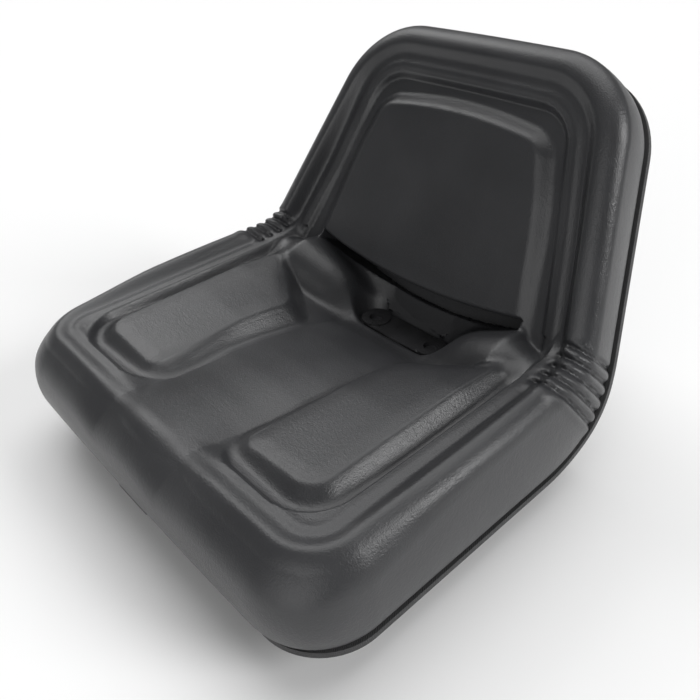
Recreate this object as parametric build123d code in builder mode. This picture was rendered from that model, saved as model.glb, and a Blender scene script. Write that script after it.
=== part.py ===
"""Padded bucket seat for a ride-on mower.

A moulded foam cushion under a vinyl skin sits in a stamped steel pan. The
skin's hem and the pan's flange are clamped together by a push-on edge trim.
X runs across the seat, the front faces -Y, and Z is up. The origin is at the
centre of the bolt pattern, on the flat underside of the pan.
"""

import math
import os

from build123d import *

os.makedirs("parts", exist_ok=True)

# Form of the rim, measured on the outer edge of the trim
half_width = 241.5
seat_run = 284.3
back_run = 274.2
back_angle = 59.8
bend_radius = 116.0
front_corner_radius = 63.0
top_corner_radius = 92.0
front_bow = 4.0
top_bow = 4.0
back_taper = 15.3
taper_radius = 330.0
taper_start = 5.0
trim_height = 40.0
mount_setback = 178.0

# Levels of the cushion above the trim plane
seat_ring_level = 81.0
back_ring_level = 52.0
ring_bend_radius = 52.0
bolster_rise = 20.0
bead_rise = 11.0
bolster_radius = 24.0
bolster_width = 33.0
front_roll_width = 46.0
shelf_corner_radius = 42.0
bolster_inner_radius = 6.0
ring_inset = 52.0
undercut = 12.2

# Sheet thicknesses
skin = 1.5
hem = 1.2
steel = 1.2

# Steel pan
flange_inset = 2.6
tub_inset = 16.0
back_tub_depth = 24.0
tub_draft = 22.0
tub_bend_radius = 52.0

# Edge trim
trim_depth = 10.0
trim_low = -3.6
trim_high = 3.0
joint_cover_length = 52.0
joint_cover_x = -23.0
joint_cover_wall = 1.8
joint_cover_depth = 8.0

# Thigh troughs and pads
trough_inner_x = 54.0
trough_front = 46.0
trough_corner_radius = 46.0
trough_end = 300.0
trough_bend_radius = 24.0
ring_width = 8.0
thigh_pad_rise = 10.0
thigh_pad_end = 320.0
thigh_pad_slant = 0.75
thigh_pad_rear_radius = 16.0
thigh_pad_bevel = 52.0

# Channel that falls between the thighs to the drain: (distance back, level) along its floor
channel_path = ((20.0, 96.0), (184.0, 73.0), (319.0, 30.0))
channel_floor_half = 60.0
channel_crown = 5.0
channel_side_run = 110.0
channel_side_rise = 84.0
channel_back = 364.0
channel_level = 28.0
channel_lip = 64.0
channel_lip_height = 3.0

# Lumbar roll across the bend
roll_radius = 41.0
roll_y = 327.0
roll_level = 58.0
roll_half_length = 158.0

# Swell of the front wall
swell = 9.0
swell_low = 12.0
swell_high = 84.0
swell_half_length = 200.0

# Back pad and the groove under it, on the back plane
pad_top = 279.0
pad_shoulder = 270.0
pad_shoulder_x = 118.0
pad_foot = 75.0
pad_foot_x = 166.0
pad_corner_radius = 26.0
pad_rise = 15.0
pad_bevel = 35.0
groove_low = 58.0
groove_low_sweep = 25.0
groove_high = 78.0
groove_high_sweep = 15.0
groove_end_x = 150.0
groove_depth = 48.0

# Retainer bar and drain bushes in the crotch of the seat
bush_spacing = 87.0
bush_y = 341.0
bar_length = 120.0
bar_width = 35.0
bar_thickness = 3.0
bar_bed_margin = 1.5
bar_bed_height = 12.0
bar_bed_flare = 28.0
bush_radius = 17.5
bush_flange = 1.8
bush_mouth_radius = 8.5
bush_tube_radius = 10.0
bush_bore_radius = 4.5
bush_funnel_depth = 16.0
bush_foot = 0.6

# Pleats on the bolster at the bend
pleat_count = 4
pleat_radius = 3.0
pleat_inner_x = 203.0
pleat_starts = ((298.0, 93.0), (341.0, 112.0))
pleat_ends = ((355.0, 22.0), (389.0, 67.0))
pleat_lift = 9.0

# Mounting bolts
bolt_spacing_x = 286.0
bolt_spacing_y = 263.0
bolt_hole_radius = 4.75
nut_across_flats = 16.0
nut_height = 7.0
nut_bore_radius = 4.3
nut_clearance = 0.4
bolt_room = 24.0
bolt_room_radius = 6.0

# Reach of prisms and profiles past the shapes that cut them back
far = 800.0
overrun = 60.0
recess_room = 50.0
bore_cut = 120.0

# A 45 degree chamfer grows by this share of what its surface moves inward
chamfer_share = 0.414

angle = math.radians(back_angle)
front_y = -mount_setback
corner_y = front_y + seat_run + bend_radius * math.tan(angle / 2)
back_length = back_run + bend_radius * math.tan(angle / 2)
wall_inset = tub_inset + steel / math.cos(math.radians(tub_draft))
bar_floor = channel_level - bar_thickness
bottom_align = (Align.CENTER, Align.CENTER, Align.MIN)
top_align = (Align.CENTER, Align.CENTER, Align.MAX)

seat_plane = Plane((0, 0, trim_height), x_dir=(1, 0, 0), z_dir=(0, 0, 1))
back_plane = Plane(
    (0, corner_y, trim_height),
    x_dir=(1, 0, 0),
    z_dir=(0, -math.sin(angle), math.cos(angle)),
)


def side_point(along, height):
    """YZ point that lies so far up the back plane and so high off it."""
    return (
        corner_y + along * math.cos(angle) - height * math.sin(angle),
        trim_height + along * math.sin(angle) + height * math.cos(angle),
    )


def elbow(seat_level, back_level):
    """YZ point where a seat level and a back level cross."""
    along = (seat_level - back_level * math.cos(angle)) / math.sin(angle)
    return side_point(along, back_level)


def seat_outline(inset):
    """Rim of the seat seen from above, left open-ended toward the back."""
    shoulder_y = front_y + front_bow
    with BuildSketch(seat_plane) as outline:
        with BuildLine():
            ThreePointArc((-half_width, shoulder_y), (0, front_y), (half_width, shoulder_y))
            Polyline((half_width, shoulder_y), (half_width, far))
            Polyline((-half_width, shoulder_y), (-half_width, far), (half_width, far))
        make_face()
        fillet(outline.vertices().group_by(Axis.Y)[0], radius=front_corner_radius)
        if inset > 0:
            offset(amount=-inset, kind=Kind.INTERSECTION)
    return outline.sketch


def back_outline(inset):
    """Rim of the back seen square on, left open-ended toward the seat."""
    taper = math.radians(back_taper)
    arc_top = taper_start + taper_radius * math.sin(taper)
    arc_x = half_width - taper_radius * (1 - math.cos(taper))
    shoulder = back_length - top_bow
    shoulder_x = arc_x - (shoulder - arc_top) * math.tan(taper)
    with BuildSketch(back_plane) as outline:
        with BuildLine():
            ThreePointArc((-shoulder_x, shoulder), (0, back_length), (shoulder_x, shoulder))
            for side in (1, -1):
                Line((side * shoulder_x, shoulder), (side * arc_x, arc_top))
                TangentArc(
                    (side * half_width, taper_start), (side * arc_x, arc_top), tangent=(0, 1)
                )
            Polyline(
                (half_width, taper_start),
                (half_width, -far),
                (-half_width, -far),
                (-half_width, taper_start),
            )
        make_face()
        fillet(outline.vertices().group_by(Axis.Y)[-1], radius=top_corner_radius)
        if inset > 0:
            offset(amount=-inset, kind=Kind.INTERSECTION)
    return outline.sketch


def side_band(low, high):
    """L-shaped band in side view between two (seat, back, radius) levels."""
    start = front_y - overrun
    reach = back_length + overrun
    with BuildSketch(Plane.YZ) as band:
        with BuildLine():
            lines = []
            for seat_level, back_level, radius in (low, high):
                lines.append(
                    FilletPolyline(
                        (start, trim_height + seat_level),
                        elbow(seat_level, back_level),
                        side_point(reach, back_level),
                        radius=radius,
                    )
                )
            Line(lines[0] @ 0, lines[1] @ 0)
            Line(lines[0] @ 1, lines[1] @ 1)
        make_face()
    return band.sketch


def rim_slab(inset, low, high):
    """Solid between two levels, inset from the rim all round."""
    with BuildPart() as slab:
        extrude(side_band(low, high), amount=half_width + 20, both=True)
        extrude(seat_outline(inset), amount=far, both=True, mode=Mode.INTERSECT)
        extrude(back_outline(inset), amount=far, both=True, mode=Mode.INTERSECT)
    return slab.part


def trim_level(height):
    """Level parallel to the trim plane at a height above it."""
    return (height, height, bend_radius - height)


def ring_level(rise):
    """Level parallel to the floor of the recessed ring."""
    return (seat_ring_level + rise, back_ring_level + rise, ring_bend_radius - rise)


def height_over(level, point):
    """Signed distance of a point from a level, on the sitter's side."""
    seat_level, back_level, radius = level
    centre_y, centre_z = elbow(seat_level + radius, back_level + radius)
    along = (point.Y - centre_y) * math.cos(angle) + (point.Z - centre_z) * math.sin(angle)
    if point.Y < centre_y:
        return point.Z - trim_height - seat_level
    if along > 0:
        off_plane = (centre_y - point.Y) * math.sin(angle) + (point.Z - centre_z) * math.cos(angle)
        return off_plane + radius
    return radius - math.hypot(point.Y - centre_y, point.Z - centre_z)


def edges_on(edges, level):
    """Edges that lie on a level, without the seams straight across it."""
    return edges.filter_by(Axis.X, reverse=True).filter_by(
        lambda edge: all(abs(height_over(level, edge @ t)) < 0.02 for t in (0, 0.5, 1))
    )


def shelf_outline(grow):
    """Plan of the shelf inside the bolster, open to the back."""
    half = half_width - bolster_width + grow
    front = front_y + front_roll_width - grow
    with BuildSketch(seat_plane) as outline:
        with Locations((0, front + far / 2)):
            Rectangle(2 * half, far)
        fillet(outline.vertices().group_by(Axis.Y)[0], radius=shelf_corner_radius + grow)
    return outline.sketch


def trough_outline(grow):
    """Plan of the ring's outer edge: a trough for each thigh, open to the back."""
    outer_x = half_width - ring_inset + grow
    inner_x = trough_inner_x - grow
    front = front_y + trough_front - grow
    with BuildSketch(seat_plane) as outline:
        for side in (1, -1):
            with BuildLine():
                Polyline(
                    (side * outer_x, far),
                    (side * outer_x, front),
                    (side * inner_x, front),
                    (side * inner_x, far),
                    close=True,
                )
            make_face()
        fillet(outline.vertices().group_by(Axis.Y)[0], radius=trough_corner_radius + grow)
        with Locations((0, front_y + trough_end + far / 2)):
            Rectangle(2 * outer_x, far)
    return outline.sketch


def recess(floor, seat_plan, back_inset):
    """Room above a level, inside a plan on the seat and an inset on the back."""
    above = (seat_ring_level + recess_room, back_ring_level + recess_room, 8)
    with BuildPart() as room:
        extrude(side_band(floor, above), amount=half_width, both=True)
        extrude(seat_plan, amount=far, both=True, mode=Mode.INTERSECT)
        extrude(back_outline(back_inset), amount=far, both=True, mode=Mode.INTERSECT)
    return room.part


def bevel_shift(inset, bevel):
    """Sideways move of a bevelled pad's foot when its surface moves inward."""
    slope = math.radians(bevel)
    return inset * (1 / math.cos(slope) - math.tan(slope))


def thigh_pads(inset):
    """Two raised pads in the troughs, cut off at a slant toward the crotch."""
    edge = ring_width + bevel_shift(inset, thigh_pad_bevel)
    outer_x = half_width - ring_inset - edge
    inner_x = trough_inner_x + edge
    front = front_y + trough_front + edge
    rear = front_y + thigh_pad_end - edge
    rear_inner = rear - thigh_pad_slant * (outer_x - inner_x)
    with BuildPart() as pads:
        with BuildSketch(seat_plane.offset(seat_ring_level - inset)):
            for side in (1, -1):
                outline = [
                    (side * inner_x, rear_inner),
                    (side * inner_x, front),
                    (side * outer_x, front),
                    (side * outer_x, rear),
                ]
                with BuildLine():
                    Polyline(outline[::side], close=True)
                make_face()
            corners = vertices()
            front_corners = corners.group_by(Axis.Y)[0]
            rear_corners = [c for c in corners if c not in front_corners]
            fillet(front_corners, radius=trough_corner_radius - edge)
            fillet(rear_corners, radius=thigh_pad_rear_radius)
        extrude(amount=thigh_pad_rise, dir=seat_plane.z_dir, taper=thigh_pad_bevel)
    return pads.part


def back_pad(inset):
    """Raised pad on the back with a bowed top edge."""
    shift = bevel_shift(inset, pad_bevel)
    with BuildPart() as pad:
        with BuildSketch(back_plane.offset(back_ring_level - inset)):
            with BuildLine():
                arc = ThreePointArc(
                    (pad_shoulder_x, pad_shoulder), (0, pad_top), (-pad_shoulder_x, pad_shoulder)
                )
                Polyline(arc @ 1, (-pad_foot_x, pad_foot), (pad_foot_x, pad_foot), arc @ 0)
            make_face()
            fillet(vertices().group_by(Axis.Y)[-1], radius=pad_corner_radius)
            if shift > 0:
                offset(amount=-shift, kind=Kind.INTERSECTION)
        extrude(amount=pad_rise, dir=back_plane.z_dir, taper=pad_bevel)
    return pad.part


def back_groove(inset):
    """Curved slot that undercuts the foot of the back pad."""
    with BuildPart() as slot:
        with BuildSketch(back_plane.offset(back_ring_level - groove_depth - inset)):
            with BuildLine():
                low = ThreePointArc(
                    (-groove_end_x, groove_low + groove_low_sweep),
                    (0, groove_low),
                    (groove_end_x, groove_low + groove_low_sweep),
                )
                high = ThreePointArc(
                    (-groove_end_x, groove_high + groove_high_sweep),
                    (0, groove_high),
                    (groove_end_x, groove_high + groove_high_sweep),
                )
                Line(low @ 0, high @ 0)
                Line(low @ 1, high @ 1)
            make_face()
            if inset > 0:
                offset(amount=inset, kind=Kind.INTERSECTION)
        extrude(amount=groove_depth + overrun, dir=back_plane.z_dir)
    return slot.part


def lumbar_roll(inset):
    """Rounded roll that fills the bend between the thighs and the back."""
    with BuildPart() as roll:
        with BuildSketch(Plane.YZ):
            with Locations((front_y + roll_y, trim_height + roll_level)):
                Circle(roll_radius - inset)
        extrude(amount=roll_half_length - inset, both=True)
    return roll.part


def channel_section(plane, inset):
    """Cross-section of the channel, its crowned floor on the plane's origin."""
    side = math.hypot(channel_side_run, channel_side_rise)
    grow = inset * (side - channel_side_rise) / channel_side_run
    floor = channel_floor_half + grow
    with BuildSketch(plane) as section:
        with BuildLine():
            ThreePointArc(
                (-floor, -channel_crown - inset), (0, -inset), (floor, -channel_crown - inset)
            )
            Polyline(
                (floor, -channel_crown - inset),
                (floor + channel_side_run, channel_side_rise - channel_crown - inset),
                (-floor - channel_side_run, channel_side_rise - channel_crown - inset),
                (-floor, -channel_crown - inset),
            )
        make_face()
    return section.sketch


def drain_channel(inset):
    """Room of the channel between the thighs, closed by the wall behind the drain."""
    points = [Vector(0, front_y + y, trim_height + z) for y, z in channel_path]
    points.append(Vector(0, front_y + channel_path[-1][0] + 100, points[-1].Z))
    lip = side_point(channel_lip - inset, channel_lip_height - inset)
    lip_end = side_point(channel_lip - inset, channel_lip_height + 200)
    with BuildSketch(Plane.YZ) as profile:
        with BuildLine():
            Polyline(
                (front_y, trim_height + channel_level - channel_crown - 20),
                (front_y + channel_back + inset, trim_height + channel_level - 20),
                (front_y + channel_back + inset, trim_height + channel_level),
                lip,
                lip_end,
                (front_y, trim_height + 300),
                close=True,
            )
        make_face()
    with BuildPart() as room:
        for start, end in zip(points, points[1:]):
            run = (end - start).normalized()
            plane = Plane(start - run * 6, x_dir=(1, 0, 0), z_dir=-run)
            extrude(channel_section(plane, inset), amount=-(end - start).length - 6)
        extrude(profile.sketch, amount=far, both=True, mode=Mode.INTERSECT)
    return room.part


def front_swell(inset):
    """Pillow that the front wall swells out by."""
    middle = (swell_low + swell_high) / 2
    with BuildSketch(Plane.YZ) as side:
        with BuildLine():
            face = ThreePointArc(
                (front_y + inset + 6, trim_height + swell_low - 4),
                (front_y + inset - swell, trim_height + middle),
                (front_y + inset + 6, trim_height + swell_high + 4),
            )
            Line(face @ 0, face @ 1)
        make_face()
    with BuildSketch(seat_plane) as plan:
        with BuildLine():
            edge = ThreePointArc(
                (-swell_half_length, front_y + inset + 12),
                (0, front_y + inset - swell),
                (swell_half_length, front_y + inset + 12),
            )
            Line(edge @ 0, edge @ 1)
        make_face()
    with BuildPart() as pillow:
        extrude(side.sketch, amount=half_width, both=True)
        extrude(plan.sketch, amount=trim_height + swell_high + 20, mode=Mode.INTERSECT)
    return pillow.part


def bar_bed(inset):
    """Flat bed with flared sides that takes the retainer bar."""
    floor = bar_floor - inset
    grow = 2 * (bar_bed_margin + bevel_shift(inset, bar_bed_flare))
    with BuildPart() as bed:
        with BuildSketch(seat_plane.offset(floor)):
            with Locations((0, front_y + bush_y)):
                SlotOverall(bar_length + grow, bar_width + grow)
        extrude(amount=bar_bed_height, taper=-bar_bed_flare)
    return bed.part


def pleats(radius):
    """Round tubes along the folds of skin on both bolsters at the bend."""
    with BuildPart() as tubes:
        for number in range(pleat_count):
            share = number / (pleat_count - 1)
            first, last = pleat_starts
            start = Vector(0, *first) * (1 - share) + Vector(0, *last) * share
            first, last = pleat_ends
            end = Vector(0, *first) * (1 - share) + Vector(0, *last) * share
            run = (end - start).normalized()
            origin = start - run * pleat_lift + Vector(0, front_y, trim_height)
            length = (end - start).length + pleat_lift
            for side in (1, -1):
                fold = Plane(origin, x_dir=(side, 0, 0), z_dir=Vector(side, 0, 0).cross(run))
                with BuildLine(fold) as path:
                    FilletPolyline(
                        (pleat_inner_x, 0),
                        (half_width, 0),
                        (half_width, length),
                        radius=bolster_radius,
                    )
                with BuildSketch(Plane(path.line @ 0, z_dir=path.line % 0)):
                    Circle(radius)
                sweep(path=path.line)
    return tubes.part


def back_tub(wall):
    """Tub behind the back, its wall drafted away from the rim."""
    with BuildPart() as tub:
        extrude(back_outline(wall), amount=far)
        extrude(back_outline(wall), amount=overrun, dir=-back_plane.z_dir, taper=tub_draft)
    return tub.part


def tub_solid(grow, top):
    """Drafted L-shaped tub of the pan, moved inward by an amount."""
    wall = tub_inset + grow / math.cos(math.radians(tub_draft))
    low = (grow - trim_height, grow - back_tub_depth, tub_bend_radius - grow)
    with BuildPart() as tub:
        extrude(seat_outline(wall), amount=far)
        extrude(seat_outline(wall), amount=overrun, dir=-seat_plane.z_dir, taper=tub_draft)
        add(back_tub(wall), mode=Mode.INTERSECT)
        extrude(
            side_band(low, trim_level(top)), amount=half_width, both=True, mode=Mode.INTERSECT
        )
    return tub.part


def cushion_solid(inset):
    """Solid bounded by the cushion's surface, moved inward by an inset."""
    top = bolster_rise - inset
    shelf = ring_level(bead_rise - inset)
    floor = (seat_ring_level - inset, back_ring_level - inset, trough_bend_radius + inset)
    with BuildPart() as body:
        add(rim_slab(inset, trim_level(hem), ring_level(top)))
        fillet(edges_on(body.edges(), ring_level(top)), radius=bolster_radius - inset)
        bottom = edges_on(body.edges(), trim_level(hem))
        chamfer(bottom, length=undercut + chamfer_share * inset)
        add(front_swell(inset))
        add(tub_solid(steel, hem))
        add(recess(shelf, shelf_outline(inset), bolster_width - inset), mode=Mode.SUBTRACT)
        inner = [
            edge
            for edge in edges_on(body.edges(Select.LAST), ring_level(top))
            if edge not in edges_on(body.edges(Select.NEW), shelf)
        ]
        fillet(inner, radius=bolster_inner_radius - inset)
        add(recess(floor, trough_outline(inset), ring_inset - inset), mode=Mode.SUBTRACT)
        add(lumbar_roll(inset))
        add(thigh_pads(inset))
        add(back_pad(inset))
        add(drain_channel(inset), mode=Mode.SUBTRACT)
        add(back_groove(inset), mode=Mode.SUBTRACT)
        add(bar_bed(inset), mode=Mode.SUBTRACT)
        add(pleats(pleat_radius + inset), mode=Mode.SUBTRACT)
    return body.part


def hem_ring():
    """Flat hem of the skin that lies on the pan's flange."""
    with BuildPart() as ring:
        add(rim_slab(flange_inset, trim_level(0), trim_level(hem)))
        add(rim_slab(wall_inset, trim_level(-1), trim_level(hem + 1)), mode=Mode.SUBTRACT)
    return ring.part


def bolt_places(level):
    """Bolt pattern as locations at a height above the base."""
    return Locations(
        *[
            (side * bolt_spacing_x / 2, end * bolt_spacing_y / 2, level)
            for side in (1, -1)
            for end in (1, -1)
        ]
    )


def bush_places(level):
    """The two drain bushes as locations at a level above the trim plane."""
    return Locations(
        *[
            (side * bush_spacing / 2, front_y + bush_y, trim_height + level)
            for side in (1, -1)
        ]
    )


with BuildPart() as seat_pan:
    add(rim_slab(flange_inset, trim_level(-steel), trim_level(0)))
    add(tub_solid(0, 0))
    add(tub_solid(steel, 1), mode=Mode.SUBTRACT)
    with bolt_places(0):
        Cylinder(bolt_hole_radius, 10, mode=Mode.SUBTRACT)
    with bush_places(channel_level):
        Cylinder(bush_tube_radius + 0.5, bore_cut, align=top_align, mode=Mode.SUBTRACT)
seat_pan.part.label = "seat_pan"
export_step(seat_pan.part, "parts/seat_pan.step")

outer = cushion_solid(0)
inner = cushion_solid(skin)

with BuildPart() as vinyl_cover:
    add(outer)
    add(inner, mode=Mode.SUBTRACT)
    add(hem_ring())
    with bush_places(channel_level):
        Cylinder(bush_tube_radius, bore_cut, align=top_align, mode=Mode.SUBTRACT)
vinyl_cover.part.label = "vinyl_cover"
export_step(vinyl_cover.part, "parts/vinyl_cover.step")

with BuildPart() as foam_cushion:
    add(inner)
    with bolt_places(0):
        Cylinder(bolt_room_radius, bolt_room, align=bottom_align, mode=Mode.SUBTRACT)
    with bolt_places(steel):
        Cylinder(
            nut_across_flats / math.sqrt(3) + nut_clearance,
            nut_height + nut_clearance,
            align=bottom_align,
            mode=Mode.SUBTRACT,
        )
    with bush_places(channel_level):
        Cylinder(bush_tube_radius, bore_cut, align=top_align, mode=Mode.SUBTRACT)
foam_cushion.part.label = "foam_cushion"
export_step(foam_cushion.part, "parts/foam_cushion.step")

with BuildPart() as edge_trim:
    add(rim_slab(0, trim_level(trim_low), trim_level(trim_high)))
    add(rim_slab(trim_depth, trim_level(-6), trim_level(6)), mode=Mode.SUBTRACT)
    add(rim_slab(flange_inset, trim_level(-steel), trim_level(hem)), mode=Mode.SUBTRACT)
edge_trim.part.label = "edge_trim"
export_step(edge_trim.part, "parts/edge_trim.step")

with BuildPart() as trim_joint_cover:
    with Locations((joint_cover_x, front_y - joint_cover_wall, trim_height)):
        Box(
            joint_cover_length,
            joint_cover_depth + joint_cover_wall,
            trim_high - trim_low + 2 * joint_cover_wall,
            align=(Align.CENTER, Align.MIN, Align.CENTER),
        )
    add(rim_slab(0, trim_level(trim_low), trim_level(trim_high)), mode=Mode.SUBTRACT)
trim_joint_cover.part.label = "trim_joint_cover"
export_step(trim_joint_cover.part, "parts/trim_joint_cover.step")

with BuildPart() as retainer_bar:
    with BuildSketch(seat_plane.offset(bar_floor)):
        with Locations((0, front_y + bush_y)):
            SlotOverall(bar_length, bar_width)
    extrude(amount=bar_thickness)
    with bush_places(channel_level):
        Cylinder(bush_tube_radius, 20, mode=Mode.SUBTRACT)
retainer_bar.part.label = "retainer_bar"
export_step(retainer_bar.part, "parts/retainer_bar.step")

bush_names = ("drain_bush_right", "drain_bush_left")
for bush_name, place in zip(bush_names, bush_places(channel_level).locations):
    with BuildPart() as drain_bush:
        with Locations(place):
            Cylinder(bush_radius, bush_flange, align=bottom_align)
            tube_length = trim_height + channel_level - bush_foot
            Cylinder(bush_tube_radius, tube_length, align=top_align)
            Cylinder(bush_bore_radius, 200, mode=Mode.SUBTRACT)
        with Locations(place * Location((0, 0, bush_flange))):
            Cone(
                bush_bore_radius,
                bush_mouth_radius,
                bush_funnel_depth,
                align=top_align,
                mode=Mode.SUBTRACT,
            )
    drain_bush.part.label = bush_name
    export_step(drain_bush.part, f"parts/{bush_name}.step")

nut_names = ("rear_right", "front_right", "rear_left", "front_left")
for nut_name, place in zip(nut_names, bolt_places(steel).locations):
    with BuildPart() as weld_nut:
        with BuildSketch(Plane.XY.offset(steel)):
            with Locations(place.position):
                RegularPolygon(nut_across_flats / 2, 6, major_radius=False)
                Circle(nut_bore_radius, mode=Mode.SUBTRACT)
        extrude(amount=nut_height)
    weld_nut.part.label = f"weld_nut_{nut_name}"
    export_step(weld_nut.part, f"parts/weld_nut_{nut_name}.step")
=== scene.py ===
"""Ride-on mower seat: the padded skin as a smooth surface, finishes, light and camera."""

import math

import bpy
import numpy as np
from mathutils import Matrix, Vector


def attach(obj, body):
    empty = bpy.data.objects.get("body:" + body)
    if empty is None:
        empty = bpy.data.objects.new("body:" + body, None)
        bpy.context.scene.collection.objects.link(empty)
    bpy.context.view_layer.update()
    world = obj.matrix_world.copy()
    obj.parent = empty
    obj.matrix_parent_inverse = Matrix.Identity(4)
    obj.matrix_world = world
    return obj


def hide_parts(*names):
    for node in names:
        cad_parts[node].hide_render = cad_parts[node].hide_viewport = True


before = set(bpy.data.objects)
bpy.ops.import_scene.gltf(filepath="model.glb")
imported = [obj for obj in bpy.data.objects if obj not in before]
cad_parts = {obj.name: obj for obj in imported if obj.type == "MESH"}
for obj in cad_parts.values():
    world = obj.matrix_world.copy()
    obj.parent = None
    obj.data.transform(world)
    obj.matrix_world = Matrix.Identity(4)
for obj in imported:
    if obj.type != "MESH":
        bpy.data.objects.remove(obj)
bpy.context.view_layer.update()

# The skin is shaped in millimetres: x across, y back from the front rim, z up from the trim
# plane, t up the back from the corner of the two rim planes and n off the back plane.
SETBACK = 178.0
TRIM_HEIGHT = 40.0

# Rim
HALF_WIDTH = 241.5
SEAT_RUN = 284.3
BACK_RUN = 274.2
BACK_ANGLE = math.radians(59.8)
COS, SIN = math.cos(BACK_ANGLE), math.sin(BACK_ANGLE)
BEND_RADIUS = 116.3
CORNER_Y = SEAT_RUN + BEND_RADIUS * math.tan(BACK_ANGLE / 2)
BACK_LENGTH = BACK_RUN + BEND_RADIUS * math.tan(BACK_ANGLE / 2)
FRONT_RADIUS = 63.0
TOP_RADIUS = 93.5
FRONT_BOW = 3.5
TOP_BOW, TOP_BOW_X = 3.0, 180.0
TAPER = math.radians(15.3)
TAPER_RADIUS = 330.0

# Bolster and the bead inside it, by distance in from the rim
CREST_END = 19.0
SEAT_SHELF_START = 36.0
BACK_SHELF_START = 33.0
BEAD_INSET, BEAD_WIDTH = 43.0, 5.0
SEAT_BEAD_RISE, BACK_BEAD_RISE = 1.0, 1.8
BACK_STEP = (49.5, 57.0)

# Trough round each thigh pad
TROUGH_OUTER_X, TROUGH_INNER_X, TROUGH_FRONT = 189.5, 57.0, 46.0
TROUGH_OUTER_RADIUS, TROUGH_INNER_RADIUS = 46.0, 40.0
TROUGH_STRAIGHT_Y = 95.0
TROUGH_STEP = (-3.2, 3.8)

# Thigh pads
PAD_OUTER_X, PAD_FRONT = 183.5, 54.5
PAD_OUTER_RADIUS, PAD_INNER_RADIUS = 38.0, 32.0
PAD_STRAIGHT_Y = 92.0
PAD_FOOT = 13.0
PAD_REAR = (282.0, 137.0, 0.62, 0.85)
PAD_REAR_FOOT, PAD_REAR_BLEND = 17.0, 14.0
PAD_BEVEL = (-1.0, 19.0)
PAD_CROWN = 2.5

# Saddle between the thighs and the scoop round the drain
SADDLE_FRONT_X, SADDLE_WIDENING, SADDLE_END_X = 20.0, 40.0, 110.0
SCOOP_FLOOR = 26.2
SCOOP_WALL_Y, SCOOP_WALL_RISE, SCOOP_WALL_BEND = 352.0, 27.0, 0.033
SCOOP_SIDE_X = 170.0

# Lumbar lobes
ROLL_RADIUS = 41.0
ROLL_Y = 327.0

# Back pad and the groove under it
BACK_PAD_TOP, BACK_PAD_BOW, BACK_PAD_BOW_X = 269.0, 10.0, 104.0
BACK_PAD_RADIUS, BACK_PAD_FOOT = 22.0, 9.0
GROOVE_LOW, GROOVE_LOW_SWEEP = 58.0, 25.0
GROOVE_HIGH, GROOVE_HIGH_SWEEP = 78.0, 15.0
GROOVE_SWEEP_X, GROOVE_END_X = 150.0, 148.0
GROOVE_FLOOR = -9.0

# Bed of the retainer bar
BED_END_X, BED_Y, BED_RADIUS, BED_FLOOR, BED_TOP = 43.5, 341.0, 18.5, 25.0, 31.0

# Outer wall and underside
WALL_HEIGHT = 84.0
FRONT_SWELL, SIDE_SWELL = 9.0, 3.0
HEM_TUCK, HEM_TUCK_HEIGHT = 9.0, 5.0
SIDE_ROUND, FRONT_ROUND = 21.0, 14.0
HEM_TOP = 1.4
CORE_DEPTH, CORE_INSET = 16.0, (26.0, 44.0)

# Folds over the bolster at the bend
FOLDS = 5
FOLD_START, FOLD_START_RUN = (298.0, 93.0), (43.0, 19.0)
FOLD_END, FOLD_END_RUN = (355.0, 22.0), (34.0, 45.0)
FOLD_DEPTH, FOLD_WIDTH = 3.3, 2.5
RIB_RISE, RIB_OFF, RIB_WIDTH = 1.0, 6.5, 4.5
FOLD_INNER_X = (198.0, 205.0)

# Herringbone of the trim, in metres
HERRINGBONE_ROW, HERRINGBONE_PITCH = 0.0018, 0.0019

# Camera: angles in degrees, distance in metres, target in the skin's frame, lens in pixels
AZIMUTH, ELEVATION, ROLL = 49.539, 35.355, -0.06
TARGET, DISTANCE = (14.86, 249.57, 63.51), 0.74557
PICTURE, SENSOR = 700, 36.0
LENS, SHIFT_X, SHIFT_Y = 713.42, -1.62, -4.61

# Sampling of curves and of the skin's mesh
CURVE_SPREAD = 12
FINE_STEP, QUICK_STEP = 2.6, 4.5


def ramp(value, low, high):
    """Smooth step from 0 at low to 1 at high."""
    share = np.clip((value - low) / (high - low), 0, 1)
    return share * share * (3 - 2 * share)


def curve(*pairs):
    """Smooth curve through (position, level) pairs, sampled every millimetre."""
    places = np.arange(pairs[0][0] - 2 * CURVE_SPREAD, pairs[-1][0] + 2 * CURVE_SPREAD + 1)
    padded = np.arange(places[0] - CURVE_SPREAD, places[-1] + CURVE_SPREAD + 1)
    window = np.hanning(2 * CURVE_SPREAD + 1)
    levels = np.interp(padded, *zip(*pairs))
    return places, np.convolve(levels, window / window.sum(), "valid")


def along(value, shape):
    """Level of a curve at a position."""
    return np.interp(value, *shape)


# Levels along the seat, by y
SEAT_RING = curve((40, 85), (52, 85), (104, 82), (151, 79), (311, 80))
SEAT_CREST = curve((10, 96), (60, 98), (150, 102), (300, 106))
SEAT_SHELF = curve((30, 92), (300, 92))
VALLEY = curve(
    (46, 84), (81, 76), (110, 73), (145, 72), (184, 67),
    (223, 60), (243, 56), (276, 45), (300, 35), (319, 28),
)
SADDLE = curve(
    (20, 96), (46, 91), (81, 85), (110, 81), (145, 78), (184, 72),
    (223, 64), (243, 59), (276, 47), (300, 36), (317, 28),
)
FACE_OUTER = curve((50, 93), (240, 94), (300, 89))
FACE_INNER = curve((60, 86), (94, 85), (180, 85), (217, 80), (259, 71), (300, 58))

# Inner edge of the thigh pads, by y
INNER_X = curve((50, 70), (94, 70), (146, 75), (179, 77), (260, 77), (320, 77))

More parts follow.
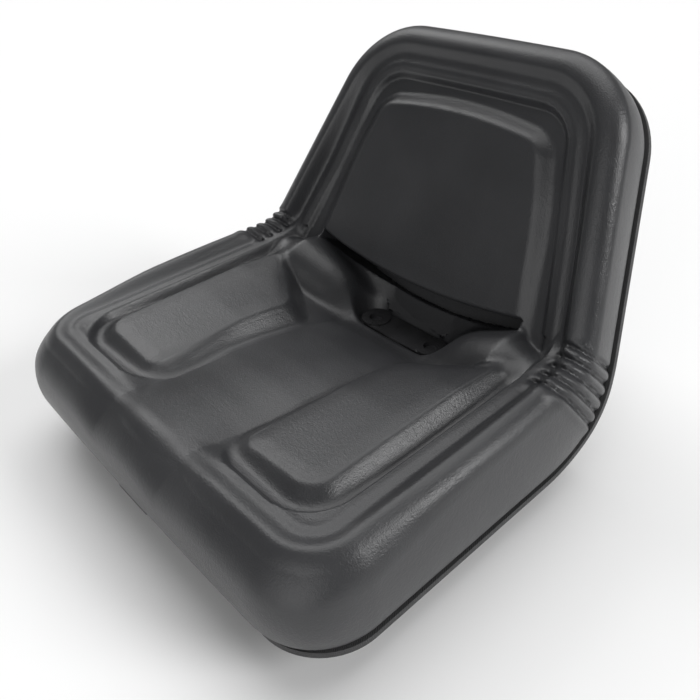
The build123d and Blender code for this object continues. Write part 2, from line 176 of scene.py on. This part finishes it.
# Levels across the crotch, by x
SCOOP = curve(
    (0, 0), (45, 4), (59, 12), (86, 29), (104, 40), (128, 53), (144, 65), (170, 80), (200, 84)
)
ROLL_CREST = curve(
    (0, 0), (55, 20), (62, 35), (86, 64), (104, 77), (128, 89), (150, 98), (170, 100), (200, 100)
)

# Levels up the back, by t
BACK_RING = curve(
    (60, 45), (102, 46), (136, 48), (160, 49.5), (193, 52.5), (219, 55.5), (244, 57), (300, 58)
)
BACK_CREST = curve((60, 67), (150, 69), (250, 71), (341, 72))
BACK_VALLEY = curve((60, 50), (172, 53), (210, 57), (248, 61), (310, 66))
PAD_FACE = curve((91, 51), (260, 68))

# Side edge of the back pad, by t
PAD_SIDE_X = curve(
    (80, 153), (91, 151), (132, 142), (168, 135), (204, 126), (239, 114), (280, 101)
)


def soft_min(a, b, blend):
    """Smaller of two fields with a rounded crease."""
    share = np.maximum(blend - np.abs(a - b), 0) / blend
    return np.minimum(a, b) - share * share * blend / 4


def soft_max(a, b, blend):
    """Larger of two fields with a rounded crease."""
    return -soft_min(-a, -b, blend)


def round_max(a, b, radius):
    """Larger of two distance fields, with the outer edge rounded to a radius."""
    inside = np.maximum(a, b)
    u, v = np.maximum(a + radius, 0), np.maximum(b + radius, 0)
    return np.where((a > -radius) & (b > -radius), np.hypot(u, v) - radius, inside)


def round_corner(a, b, radius, lean=0.0):
    """Inset from two edges whose corner is rounded; lean is the cosine between their normals."""
    u, v = radius - a, radius - b
    reach = np.sqrt(np.maximum(u * u + v * v - 2 * u * v * lean, 0) / (1 - lean * lean))
    curved = (u - v * lean > 0) & (v - u * lean > 0)
    return np.where(curved, radius - reach, np.minimum(a, b))


def bump(value, width):
    """Bell of height 1 at 0."""
    return np.exp(-((value / width) ** 2))


def seat_inset(x, y):
    """Distance in from the rim, in plan."""
    front = y - FRONT_BOW * (x / HALF_WIDTH) ** 2
    return round_corner(HALF_WIDTH - x, front, FRONT_RADIUS)


def back_inset(x, t):
    """Distance in from the rim on the back."""
    arc_end = TAPER_RADIUS * math.sin(TAPER)
    in_arc = np.clip(t, 0, arc_end)
    width = HALF_WIDTH - (TAPER_RADIUS - np.sqrt(TAPER_RADIUS**2 - in_arc**2))
    width = width - np.maximum(t - arc_end, 0) * math.tan(TAPER)
    side = (width - x) * np.where(t > arc_end, math.cos(TAPER), 1.0)
    top = BACK_LENGTH - TOP_BOW * (x / TOP_BOW_X) ** 2 - t
    return round_corner(side, top, TOP_RADIUS, math.sin(TAPER))


def bolster_level(inset, crest, shelf, shelf_start, bead_rise):
    """Section of the bolster: a crest, the fall inside it and a bead."""
    fall = (crest - shelf) * ramp(inset, CREST_END, shelf_start)
    return crest - fall + bead_rise * bump(inset - BEAD_INSET, BEAD_WIDTH)


def trough_edge(x, y):
    """Distance in from the outline of a trough."""
    outer, inner = TROUGH_OUTER_X - x, x - TROUGH_INNER_X
    edge = round_corner(outer, y - TROUGH_FRONT, TROUGH_OUTER_RADIUS)
    edge = round_corner(edge, inner, TROUGH_INNER_RADIUS)
    return np.where(y > TROUGH_STRAIGHT_Y, np.minimum(outer, inner), edge)


def thigh_pad_edge(x, y):
    """Distance in from the foot of a thigh pad, cut off at a slant toward the crotch."""
    outer, inner = PAD_OUTER_X - x, (x - along(y, INNER_X)) + PAD_FOOT
    edge = round_corner(outer, y - PAD_FRONT, PAD_OUTER_RADIUS)
    edge = round_corner(edge, inner, PAD_INNER_RADIUS)
    edge = np.where(y > PAD_STRAIGHT_Y, np.minimum(outer, inner), edge)
    rear_y, rear_x, slant, lean = PAD_REAR
    rear = (rear_y + slant * (x - rear_x) - y) * lean
    return soft_min(edge, rear + PAD_REAR_FOOT, PAD_REAR_BLEND)


def thigh_pad_face(x, y):
    """Level of a thigh pad's face, which falls toward the inner edge."""
    share = np.clip((x - 77) / (166 - 77), 0, 1)
    inner = along(y, FACE_INNER)
    return inner + (along(y, FACE_OUTER) - inner) * share**0.8


def seat_level(x, y, inset):
    """Height of the seat's surface over the trim plane."""
    valley = along(y, VALLEY)
    across = np.clip((x - 60) / (185 - 60), 0, 1)
    ring = valley + (along(y, SEAT_RING) - valley) * across
    rolled = bolster_level(
        inset, along(y, SEAT_CREST), along(y, SEAT_SHELF), SEAT_SHELF_START, SEAT_BEAD_RISE
    )
    saddle = along(y, SADDLE)
    middle = saddle + (valley - saddle) * np.clip(x / TROUGH_INNER_X, 0, 1) ** 2
    saddle_side = SADDLE_FRONT_X + SADDLE_WIDENING * ramp(y, 26, 64)
    rolled = middle + (rolled - middle) * ramp(x, saddle_side, SADDLE_END_X)
    level = rolled + (ring - rolled) * ramp(trough_edge(x, y), *TROUGH_STEP)
    edge = thigh_pad_edge(x, y)
    crown = PAD_CROWN * ramp(edge, 0, 36)
    level = level + (thigh_pad_face(x, y) - ring + crown) * ramp(edge, *PAD_BEVEL)
    wall = np.minimum(SCOOP_WALL_BEND * np.maximum(y - SCOOP_WALL_Y, 0) ** 2, SCOOP_WALL_RISE)
    scoop = SCOOP_FLOOR + along(x, SCOOP) + wall
    return level + (scoop - level) * ramp(y, 285, 330) * ramp(SCOOP_SIDE_X - x, 0, 20)


def back_level(x, t, inset):
    """Height of the back's surface off the rim's back plane."""
    ring = along(t, BACK_RING)
    level = bolster_level(
        inset, along(t, BACK_CREST), along(t, BACK_VALLEY), BACK_SHELF_START, BACK_BEAD_RISE
    )
    level = level + (ring - level) * ramp(inset, *BACK_STEP)
    side = (along(t, PAD_SIDE_X) - x) * 0.96
    top = BACK_PAD_TOP - BACK_PAD_BOW * (x / BACK_PAD_BOW_X) ** 2 - t
    edge = round_corner(side, top, BACK_PAD_RADIUS, 0.25) + BACK_PAD_FOOT
    rise = along(t, PAD_FACE) - ring + PAD_CROWN * ramp(edge, 0, 60)
    return level + rise * ramp(edge, *PAD_BEVEL)


def groove_sweep(x, sweep):
    """Rise of the groove's edge away from the middle."""
    return sweep * (x / GROOVE_SWEEP_X) ** 2


def lumbar_lobes(x, y, z):
    """Round lobes that fill the bend on both sides of the drain."""
    axis_y = ROLL_Y + 0.2 * np.clip(150 - x, 0, 100)
    axis_z = along(x, ROLL_CREST) - ROLL_RADIUS
    return np.hypot(y - axis_y, z - axis_z) - ROLL_RADIUS + 10 * ramp(x, 150, 180)


def groove_room(x, t, n):
    """Room of the groove that undercuts the back pad."""
    low = GROOVE_LOW + groove_sweep(x, GROOVE_LOW_SWEEP) - t
    high = t - GROOVE_HIGH - groove_sweep(x, GROOVE_HIGH_SWEEP)
    return np.maximum(np.maximum(np.maximum(low, high), x - GROOVE_END_X), GROOVE_FLOOR - n)


def bar_bed(x, y, z):
    """Room that the retainer bar and its bushes lie in."""
    past_end = np.maximum(x - BED_END_X, 0)
    side = np.hypot(past_end, y - BED_Y) - BED_RADIUS - 0.5 * (z - BED_FLOOR)
    bed = np.maximum(BED_FLOOR - z, side * 0.9)
    return np.maximum(bed, z - BED_TOP - 1.2 * past_end)


def wall_reach(y, height):
    """How far the outer wall stands out past the rim."""
    swell = FRONT_SWELL * ramp(300 - y, 0, 200) * ramp(60 - y, 0, 60) + SIDE_SWELL
    swell = swell * np.sin(np.clip(height / WALL_HEIGHT, 0, 1) * math.pi)
    return swell - HEM_TUCK * np.exp(-np.maximum(height, 0) / HEM_TUCK_HEIGHT)


def skin_field(x, y, z):
    """Signed field of the padded skin, below zero inside."""
    x = np.abs(x)
    t = (y - CORNER_Y) * COS + z * SIN
    n = -(y - CORNER_Y) * SIN + z * COS
    on_seat = seat_inset(x, y)
    on_back = back_inset(x, t)
    inset = np.minimum(on_seat, on_back)
    height = soft_min(z, n, 0.5 * BEND_RADIUS)
    seat = z - seat_level(x, y, on_seat)
    back = n - back_level(x, t, on_back)
    pad_foot = GROOVE_HIGH + groove_sweep(x, GROOVE_HIGH_SWEEP) - 260 * ramp(x, 146, 168)
    back = round_max(back, pad_foot - t, 4)
    top = soft_min(seat, lumbar_lobes(x, y, z), 12)
    top = soft_min(top, back, 6 + 17 * ramp(inset, 56, 36))
    top = np.minimum(top, n - 4)
    top = soft_max(top, -groove_room(x, t, n), 2)
    top = soft_max(top, -bar_bed(x, y, z), 3)
    edge_radius = SIDE_ROUND + FRONT_ROUND * ramp(-y, -170, -40)
    solid = round_max(top, -(inset + wall_reach(y, height)), edge_radius)
    return np.maximum(solid, HEM_TOP - CORE_DEPTH * ramp(inset, *CORE_INSET) - height)


def fold_field(x, y, z):
    """Depth of the folds in the skin at the bend, with ribs between them."""
    depth = np.zeros_like(x)
    for number in range(FOLDS):
        share = number / (FOLDS - 1)
        start_y, start_z = (a + run * share for a, run in zip(FOLD_START, FOLD_START_RUN))
        end_y, end_z = (a + run * share for a, run in zip(FOLD_END, FOLD_END_RUN))
        run_y, run_z = end_y - start_y, end_z - start_z
        off = ((y - start_y) * run_z - (z - start_z) * run_y) / math.hypot(run_y, run_z)
        depth = depth + FOLD_DEPTH * bump(off, FOLD_WIDTH)
        depth = depth - RIB_RISE * bump(off - RIB_OFF, RIB_WIDTH)
    return depth * ramp(np.abs(x), *FOLD_INNER_X)


def field(points):
    """Field of the skin with its folds, for rows of points."""
    x, y, z = points.T
    return skin_field(x, y, z) + fold_field(x, y, z)


def gradient(points, reach=0.25):
    """Direction in which the field grows, by differences."""
    parts = []
    for axis in range(3):
        step = np.zeros(3)
        step[axis] = reach
        parts.append((field(points + step) - field(points - step)) / (2 * reach))
    return np.stack(parts, 1)


def surface_net(low, high, step):
    """Quads over the zero level of the field on a regular grid."""
    axes = [np.arange(a, b + step, step) for a, b in zip(low, high)]
    shape = tuple(len(a) for a in axes)
    values = np.empty(shape, np.float32)
    grid_y, grid_z = np.meshgrid(axes[1], axes[2], indexing="ij")
    for i, x in enumerate(axes[0]):
        flat = np.stack([np.full(grid_y.size, x), grid_y.ravel(), grid_z.ravel()], 1)
        values[i] = field(flat).reshape(grid_y.shape)
    inside = values < 0
    corners = [(i, j, k) for i in (0, 1) for j in (0, 1) for k in (0, 1)]
    cells = tuple(n - 1 for n in shape)

    def window(array, corner):
        return array[tuple(slice(c, c + n) for c, n in zip(corner, cells))]

    count = sum(window(inside, c).astype(np.int8) for c in corners)
    active = (count > 0) & (count < 8)
    where = np.argwhere(active)
    index = np.full(cells, -1, np.int64)
    index[active] = np.arange(len(where))
    value = {c: window(values, c)[active] for c in corners}
    total = np.zeros((len(where), 3))
    hits = np.zeros(len(where))
    for c in corners:
        for axis in range(3):
            if c[axis]:
                continue
            d = tuple(v + (a == axis) for a, v in enumerate(c))
            crossing = (value[c] < 0) != (value[d] < 0)
            share = value[c][crossing] / (value[c][crossing] - value[d][crossing])
            point = np.tile(np.array(c, float), (crossing.sum(), 1))
            point[:, axis] += share
            total[crossing] += point
            hits[crossing] += 1
    points = (where + total / hits[:, None]) * step + np.array([a[0] for a in axes])
    quads = []
    for axis in range(3):
        u, v = (axis + 1) % 3, (axis + 2) % 3
        first = [slice(1, n - 1) for n in shape]
        second = list(first)
        first[axis] = slice(0, shape[axis] - 1)
        second[axis] = slice(1, shape[axis])
        a, b = inside[tuple(first)], inside[tuple(second)]
        spots = np.argwhere(a != b)
        rising = a[a != b]
        base = spots + 1
        base[:, axis] -= 1
        ring = []
        for du, dv in ((-1, -1), (0, -1), (0, 0), (-1, 0)):
            cell = base.copy()
            cell[:, u] += du
            cell[:, v] += dv
            ring.append(index[tuple(cell.T)])
        ring = np.stack(ring, 1)
        ring[~rising] = ring[~rising][:, ::-1]
        quads.append(ring)
    quads = np.concatenate(quads)
    return points, quads[(quads >= 0).all(1)]


def to_row(points):
    """Millimetres of the skin's own frame to metres of the row frame."""
    return (points + np.array([0, -SETBACK, TRIM_HEIGHT])) / 1000


def make_skin(step):
    """Mesh of the skin, its points moved onto the field and its normals taken from it."""
    points, quads = surface_net((-256, -14, -2), (256, 540, 345), step)
    for _ in range(5):
        slope = gradient(points)
        move = field(points)[:, None] * slope / np.maximum((slope**2).sum(1), 0.5)[:, None]
        size = np.linalg.norm(move, axis=1, keepdims=True)
        points = points - move * np.minimum(1, 0.4 * step / np.maximum(size, 1e-9))
    slope = gradient(points, 0.5)
    normals = slope / np.linalg.norm(slope, axis=1, keepdims=True)
    mesh = bpy.data.meshes.new("padded_cover")
    mesh.from_pydata(to_row(points).tolist(), [], quads.tolist())
    mesh.update()
    mesh.shade_smooth()
    mesh.normals_split_custom_set_from_vertices(normals.tolist())
    cover = bpy.data.objects.new("padded_cover", mesh)
    bpy.context.scene.collection.objects.link(cover)
    return cover


class Finish:
    """A material built from procedural nodes."""

    def __init__(self, name, colour, roughness, **settings):
        self.mat = bpy.data.materials.new(name)
        self.mat.use_nodes = True
        self.tree = self.mat.node_tree
        self.shader = self.tree.nodes["Principled BSDF"]
        self.shader.inputs["Base Color"].default_value = (*colour, 1)
        self.shader.inputs["Roughness"].default_value = roughness
        for key, value in settings.items():
            self.shader.inputs[key.replace("_", " ")].default_value = value
        self.place = self.add("ShaderNodeTexCoord").outputs["Object"]

    def add(self, kind, inputs=None, **settings):
        made = self.tree.nodes.new(kind)
        for key, value in settings.items():
            setattr(made, key, value)
        for key, value in (inputs or {}).items():
            if isinstance(value, bpy.types.NodeSocket):
                self.tree.links.new(value, made.inputs[key])
            else:
                made.inputs[key].default_value = value
        return made

    def math(self, operation, *values):
        made = self.add("ShaderNodeMath", dict(enumerate(values)), operation=operation)
        return made.outputs[0]

    def noise(self, scale, detail=4.0, roughness=0.55, distortion=0.0, vector=None):
        inputs = {"Vector": vector or self.place, "Scale": scale, "Detail": detail}
        inputs.update({"Roughness": roughness, "Distortion": distortion})
        return self.add("ShaderNodeTexNoise", inputs).outputs["Fac"]

    def cells(self, scale):
        """Grain of rounded cells."""
        made = self.add("ShaderNodeTexVoronoi", {"Vector": self.place, "Scale": scale})
        return made.outputs["Distance"]

    def stretched(self, scale, turn=(0, 0, 0)):
        inputs = {"Vector": self.place, "Scale": scale, "Rotation": turn}
        return self.add("ShaderNodeMapping", inputs).outputs["Vector"]

    def between(self, value, low, high, to_low=0.0, to_high=1.0):
        inputs = {0: value, 1: low, 2: high, 3: to_low, 4: to_high}
        return self.add("ShaderNodeMapRange", inputs).outputs[0]

    def mottle(self, share, dark, light):
        inputs = {"Factor": share, 6: (*dark, 1), 7: (*light, 1)}
        made = self.add("ShaderNodeMix", inputs, data_type="RGBA")
        self.tree.links.new(made.outputs[2], self.shader.inputs["Base Color"])

    def rough(self, value):
        self.tree.links.new(value, self.shader.inputs["Roughness"])

    def relief(self, *layers):
        """Stacks bumps of (height, distance in metres, strength)."""
        normal = None
        for height, distance, strength in layers:
            inputs = {"Height": height, "Distance": distance, "Strength": strength}
            if normal is not None:
                inputs["Normal"] = normal
            normal = self.add("ShaderNodeBump", inputs).outputs["Normal"]
        self.tree.links.new(normal, self.shader.inputs["Normal"])
        return self.mat


def vinyl():
    """Satin black skin with leather grain, brushed streaks and patches of fine creases."""
    skin = Finish("vinyl", (0.03, 0.03, 0.032), 0.42, Specular_IOR_Level=0.5)
    patches = skin.noise(7.0, 3.0)
    tone = skin.between(patches, 0.35, 0.65)
    skin.mottle(tone, (0.024, 0.0245, 0.0265), (0.034, 0.0345, 0.037))
    sheen = skin.between(patches, 0.3, 0.7, 0.24, 0.32)
    skin.rough(skin.math("ADD", sheen, skin.math("MULTIPLY", skin.noise(900.0, 2.0), 0.1)))
    grain = skin.cells(780.0)
    pores = skin.noise(1900.0, 2.0)
    turned = skin.stretched((1, 1, 1), (0.4, 0.2, 0.9))
    patch = skin.between(skin.noise(14.0, 2.0, vector=turned), 0.42, 0.68)
    across = skin.stretched((1.0, 2.6, 1.0), (0.3, 0.2, 0.75))
    creases = skin.noise(95.0, 6.0, 0.62, 1.6, across)
    brushed = skin.stretched((2.8, 1.0, 1.0), (0.1, 0.4, -0.6))
    streaks = skin.noise(230.0, 5.0, 0.6, 0.8, brushed)
    return skin.relief(
        (skin.math("MULTIPLY", creases, patch), 0.0008, 0.45),
        (streaks, 0.0006, 0.45),
        (grain, 0.0002, 0.45),
        (pores, 0.00012, 0.3),
    )


def edging():
    """Dark trim with a herringbone embossed along it."""
    trim = Finish("trim", (0.036, 0.036, 0.037), 0.5)
    x, y, z = trim.add("ShaderNodeSeparateXYZ", {0: trim.place}).outputs
    seat = trim.math("SUBTRACT", z, TRIM_HEIGHT / 1000)
    behind = trim.math("SUBTRACT", y, (CORNER_Y - SETBACK) / 1000)
    rise = trim.math("MULTIPLY", seat, COS)
    back = trim.math("SUBTRACT", rise, trim.math("MULTIPLY", behind, SIN))
    off = trim.math("MINIMUM", seat, back)
    slanted = trim.math("ADD", trim.math("MULTIPLY", y, 0.72), trim.math("MULTIPLY", z, 0.72))
    run = trim.math("ADD", x, slanted)
    zigzag = trim.math("PINGPONG", trim.math("ADD", off, 0.02), HERRINGBONE_ROW)
    phase = trim.math("DIVIDE", trim.math("ADD", run, zigzag), HERRINGBONE_PITCH)
    ribs = trim.math("SINE", trim.math("MULTIPLY", phase, 2 * math.pi))
    rows = trim.math("SINE", trim.math("MULTIPLY", off, 2 * math.pi / HERRINGBONE_ROW))
    trim.rough(trim.between(trim.noise(60.0), 0.3, 0.7, 0.42, 0.58))
    fine = trim.noise(1500.0)
    return trim.relief((ribs, 0.00035, 0.8), (rows, 0.0002, 0.5), (fine, 0.0001, 0.3))


def plastic():
    """Moulded black plastic with a slight gloss."""
    part = Finish("black_plastic", (0.02, 0.02, 0.021), 0.2)
    tone = part.between(part.noise(30.0), 0.35, 0.65)
    part.mottle(tone, (0.024, 0.024, 0.025), (0.036, 0.036, 0.038))
    part.rough(part.between(part.noise(120.0), 0.3, 0.7, 0.14, 0.24))
    return part.relief((part.noise(500.0), 0.00015, 0.3))


def powder_coat():
    """Black coat of the pan with its fine orange peel."""
    coat = Finish("painted_steel", (0.022, 0.022, 0.023), 0.4)
    coat.rough(coat.between(coat.noise(25.0), 0.3, 0.7, 0.34, 0.5))
    return coat.relief((coat.noise(420.0, 2.0), 0.0003, 0.4))


def zinc():
    """Zinc plating of the nuts."""
    plate = Finish("plated_steel", (0.6, 0.58, 0.52), 0.35, Metallic=1.0)
    plate.rough(plate.between(plate.noise(300.0), 0.3, 0.7, 0.28, 0.42))
    return plate.relief((plate.noise(900.0), 0.0001, 0.4))


def painted_floor():
    """Matt pale floor."""
    ground = Finish("floor", (0.9, 0.9, 0.9), 0.9, Specular_IOR_Level=0.1)
    return ground.relief((ground.noise(40.0), 0.0004, 0.1))


def dress(name, mat):
    """Gives a CAD node its finish."""
    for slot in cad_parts[name].material_slots:
        slot.material = mat


cover = make_skin(FINE_STEP)
cover.data.materials.append(vinyl())
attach(cover, "root")
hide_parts("vinyl_cover", "foam_cushion")

finishes = {"trim": edging(), "plastic": plastic(), "steel": powder_coat(), "zinc": zinc()}
worn = {
    "edge_trim": "trim",
    "trim_joint_cover": "trim",
    "retainer_bar": "plastic",
    "drain_bush_left": "plastic",
    "drain_bush_right": "plastic",
    "seat_pan": "steel",
}
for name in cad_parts:
    if name not in ("vinyl_cover", "foam_cushion"):
        dress(name, finishes[worn.get(name, "zinc")])

# Floor, light and camera
FLOOR_HALF, FLOOR_GAP = 6, 0.0005
corners = [(-1, -1), (1, -1), (1, 1), (-1, 1)]
floor_mesh = bpy.data.meshes.new("floor")
floor_mesh.from_pydata([(x * FLOOR_HALF, y * FLOOR_HALF, 0) for x, y in corners], [], [range(4)])
floor = bpy.data.objects.new("floor", floor_mesh)
floor.location.z = -FLOOR_GAP
bpy.context.scene.collection.objects.link(floor)
floor_mesh.materials.append(painted_floor())


def sky(name, toward, strength, spread):
    """Soft, even light from one part of the sky; toward points at it."""
    lamp = bpy.data.lights.new(name, "SUN")
    lamp.energy = strength
    lamp.angle = math.radians(spread)
    obj = bpy.data.objects.new(name, lamp)
    obj.rotation_euler = Vector(toward).to_track_quat("Z", "Y").to_euler()
    bpy.context.scene.collection.objects.link(obj)


sky("overhead", (-0.2, 0.35, 1.0), 1.6, 60)
sky("right", (0.75, 0.4, 0.45), 1.5, 24)
sky("left", (-0.75, 0.15, 0.65), 0.65, 30)
sky("front", (0.5, -1.0, 0.4), 0.9, 50)

def studio_world():
    """White for the camera, a dim even fill for everything else."""
    world = bpy.data.worlds.new("studio")
    world.use_nodes = True
    nodes, links = world.node_tree.nodes, world.node_tree.links
    nodes.clear()
    out = nodes.new("ShaderNodeOutputWorld")
    mix = nodes.new("ShaderNodeMixShader")
    path = nodes.new("ShaderNodeLightPath")
    seen, lit = (nodes.new("ShaderNodeBackground") for _ in range(2))
    for background, strength in ((seen, 1.0), (lit, 0.2)):
        background.inputs["Color"].default_value = (1, 1, 1, 1)
        background.inputs["Strength"].default_value = strength
    links.new(path.outputs["Is Camera Ray"], mix.inputs["Fac"])
    links.new(lit.outputs["Background"], mix.inputs[1])
    links.new(seen.outputs["Background"], mix.inputs[2])
    links.new(mix.outputs["Shader"], out.inputs["Surface"])
    bpy.context.scene.world = world


def photo_camera():
    """Camera at the photograph's angle, distance and lens."""
    azimuth, elevation = math.radians(AZIMUTH), math.radians(ELEVATION)
    back = Vector((
        math.sin(azimuth) * math.cos(elevation),
        -math.cos(azimuth) * math.cos(elevation),
        math.sin(elevation),
    ))
    right = Vector((math.cos(azimuth), math.sin(azimuth), 0))
    up = back.cross(right)
    tilted_right = right * math.cos(ROLL) + up * math.sin(ROLL)
    tilted_up = up * math.cos(ROLL) - right * math.sin(ROLL)
    x, y, z = TARGET
    target = Vector((x, y - SETBACK, z + TRIM_HEIGHT)) / 1000
    camera_data = bpy.data.cameras.new("camera")
    camera_data.sensor_width = SENSOR
    camera_data.lens = SENSOR * LENS / PICTURE
    camera_data.shift_x = SHIFT_X / PICTURE
    camera_data.shift_y = SHIFT_Y / PICTURE
    camera = bpy.data.objects.new("camera", camera_data)
    rotation = Matrix((tilted_right, tilted_up, back)).transposed().to_4x4()
    camera.matrix_world = Matrix.Translation(target + back * DISTANCE) @ rotation
    bpy.context.scene.collection.objects.link(camera)
    bpy.context.scene.camera = camera


studio_world()
photo_camera()
bpy.context.scene.view_settings.view_transform = "Standard"
